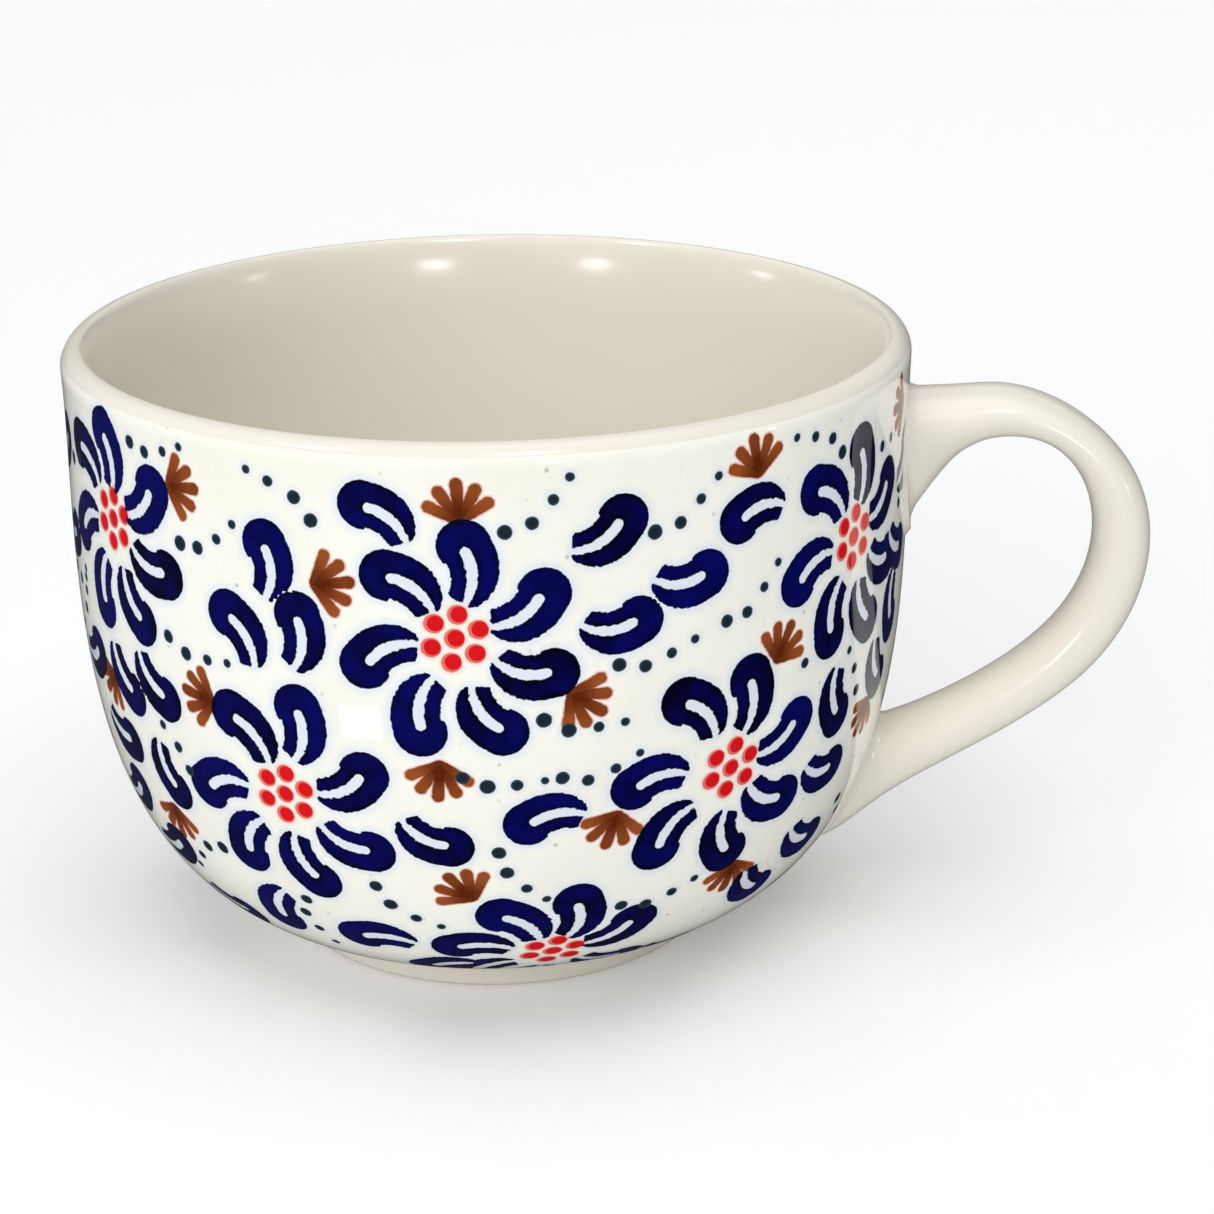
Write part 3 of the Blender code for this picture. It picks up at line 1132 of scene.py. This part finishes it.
class CUP_OT_studio(bpy.types.Operator):
    """Set the camera, the pale floor and the soft lights"""

    bl_idname = "cup.studio"
    bl_label = "Studio"

    def execute(self, context):
        studio = context.scene.studio
        self.camera(context, studio)
        self.floor(context, studio)
        self.room(context, studio)
        for name, towards, spread, strength in (
            ("key", (-0.26, -0.88, 0.45), 38, studio.key),
            ("overhead", (0.16, -0.20, 0.965), 60, studio.overhead),
        ):
            sun = bpy.data.lights.new(name, "SUN")
            sun.energy = strength
            sun.angle = math.radians(spread)
            lamp = bpy.data.objects.new(name, sun)
            context.scene.collection.objects.link(lamp)
            lamp.rotation_euler = Vector(towards).to_track_quat("Z", "Y").to_euler()
            lamp.visible_glossy = False
        for name, towards, reach, size, brightness in GLINTS:
            glint(name, Vector(towards).normalized(), reach, size, brightness)
        context.scene.view_settings.view_transform = "Standard"
        return {"FINISHED"}

    @staticmethod
    def room(context, studio):
        """Even daylight all round, which the glaze mirrors as a much dimmer room."""
        world = bpy.data.worlds.new("studio")
        context.scene.world = world
        world.use_nodes = True
        tree = world.node_tree
        path = tree.nodes.new("ShaderNodeLightPath")
        strength = tree.nodes.new("ShaderNodeMapRange")
        tree.links.new(path.outputs["Is Glossy Ray"], strength.inputs["Value"])
        strength.inputs["To Min"].default_value = studio.daylight
        strength.inputs["To Max"].default_value = studio.mirrored_room
        way = tree.nodes.new("ShaderNodeTexCoord")
        split = tree.nodes.new("ShaderNodeSeparateXYZ")
        tree.links.new(way.outputs["Generated"], split.inputs["Vector"])
        shade = tree.nodes.new("ShaderNodeMapRange")
        shade.inputs["From Min"].default_value = -1.0
        shade.inputs["To Min"].default_value = 1 + studio.right_shade
        shade.inputs["To Max"].default_value = 1 - studio.right_shade
        tree.links.new(split.outputs["X"], shade.inputs["Value"])
        product = tree.nodes.new("ShaderNodeMath")
        product.operation = "MULTIPLY"
        tree.links.new(strength.outputs["Result"], product.inputs[0])
        tree.links.new(shade.outputs["Result"], product.inputs[1])
        tree.links.new(product.outputs["Value"], tree.nodes["Background"].inputs["Strength"])
        tree.nodes["Background"].inputs["Color"].default_value = (0.97, 0.985, 1.0, 1.0)

    @staticmethod
    def camera(context, studio):
        place, aim = Vector(studio.camera_place), Vector(studio.camera_aim)
        forward = (aim - place).normalized()
        right = forward.cross(Vector((0, 0, 1))).normalized()
        up = right.cross(forward)
        c, s = math.cos(studio.camera_roll), math.sin(studio.camera_roll)
        turned_right = right * c - up * s
        turned_up = right * s + up * c
        data = bpy.data.cameras.new("camera")
        data.lens = studio.focal_length
        data.sensor_width = 36.0
        data.clip_start = 0.01
        camera = bpy.data.objects.new("camera", data)
        context.scene.collection.objects.link(camera)
        axes = Matrix((turned_right, turned_up, -forward)).transposed()
        camera.matrix_world = Matrix.Translation(place) @ axes.to_4x4()
        context.scene.camera = camera

    @staticmethod
    def floor(context, studio):
        shape = bmesh.new()
        bmesh.ops.create_grid(shape, x_segments=8, y_segments=8, size=6.0)
        mesh = bpy.data.meshes.new("studio_floor")
        shape.to_mesh(mesh)
        shape.free()
        floor = bpy.data.objects.new("studio_floor", mesh)
        context.scene.collection.objects.link(floor)
        paper = Glaze("pale_paper")
        soft = paper.noise(3.0, 2.0)
        tone = tuple(studio.floor_tone)
        paper.feed(
            paper.shader.inputs["Base Color"],
            paper.mix(soft * 0.04, tone, tuple(0.95 * value for value in tone)),
        )
        paper.shader.inputs["Roughness"].default_value = 0.65
        paper.shader.inputs["Emission Color"].default_value = (1.0, 1.0, 1.0, 1.0)
        paper.shader.inputs["Emission Strength"].default_value = 0.12
        mesh.materials.append(paper.material)
        floor.visible_glossy = False


class CUP_PT_panel(bpy.types.Panel):
    """Lists the operators in the order in which the cup is made"""

    bl_idname = "CUP_PT_panel"
    bl_label = "Painted cup"
    bl_space_type = "VIEW_3D"
    bl_region_type = "UI"
    bl_category = "Cup"

    def draw(self, context):
        for operator in OPERATORS:
            self.layout.operator(operator.bl_idname)


STARTUP_OBJECTS = ("Cube", "Light", "Camera")
SETTINGS = {"cup": CupSettings, "handle": HandleSettings, "studio": StudioSettings}
OPERATORS = (
    CUP_OT_clay_body,
    CUP_OT_painted_wall,
    CUP_OT_strap_handle,
    CUP_OT_slip_fillets,
    CUP_OT_studio,
)
CLASSES = (*SETTINGS.values(), *OPERATORS, CUP_PT_panel)


def register():
    for cls in CLASSES:
        bpy.utils.register_class(cls)
    for name, cls in SETTINGS.items():
        setattr(bpy.types.Scene, name, bpy.props.PointerProperty(type=cls))


def unregister():
    for name in SETTINGS:
        delattr(bpy.types.Scene, name)
    for cls in reversed(CLASSES):
        bpy.utils.unregister_class(cls)


def main():
    register()
    for name in STARTUP_OBJECTS:
        if name in bpy.data.objects:
            bpy.data.objects.remove(bpy.data.objects[name], do_unlink=True)
    bpy.ops.cup.clay_body()
    bpy.ops.cup.painted_wall()
    bpy.ops.cup.strap_handle()
    bpy.ops.cup.slip_fillets()
    bpy.ops.cup.studio()


if __name__ == "__main__":
    main()
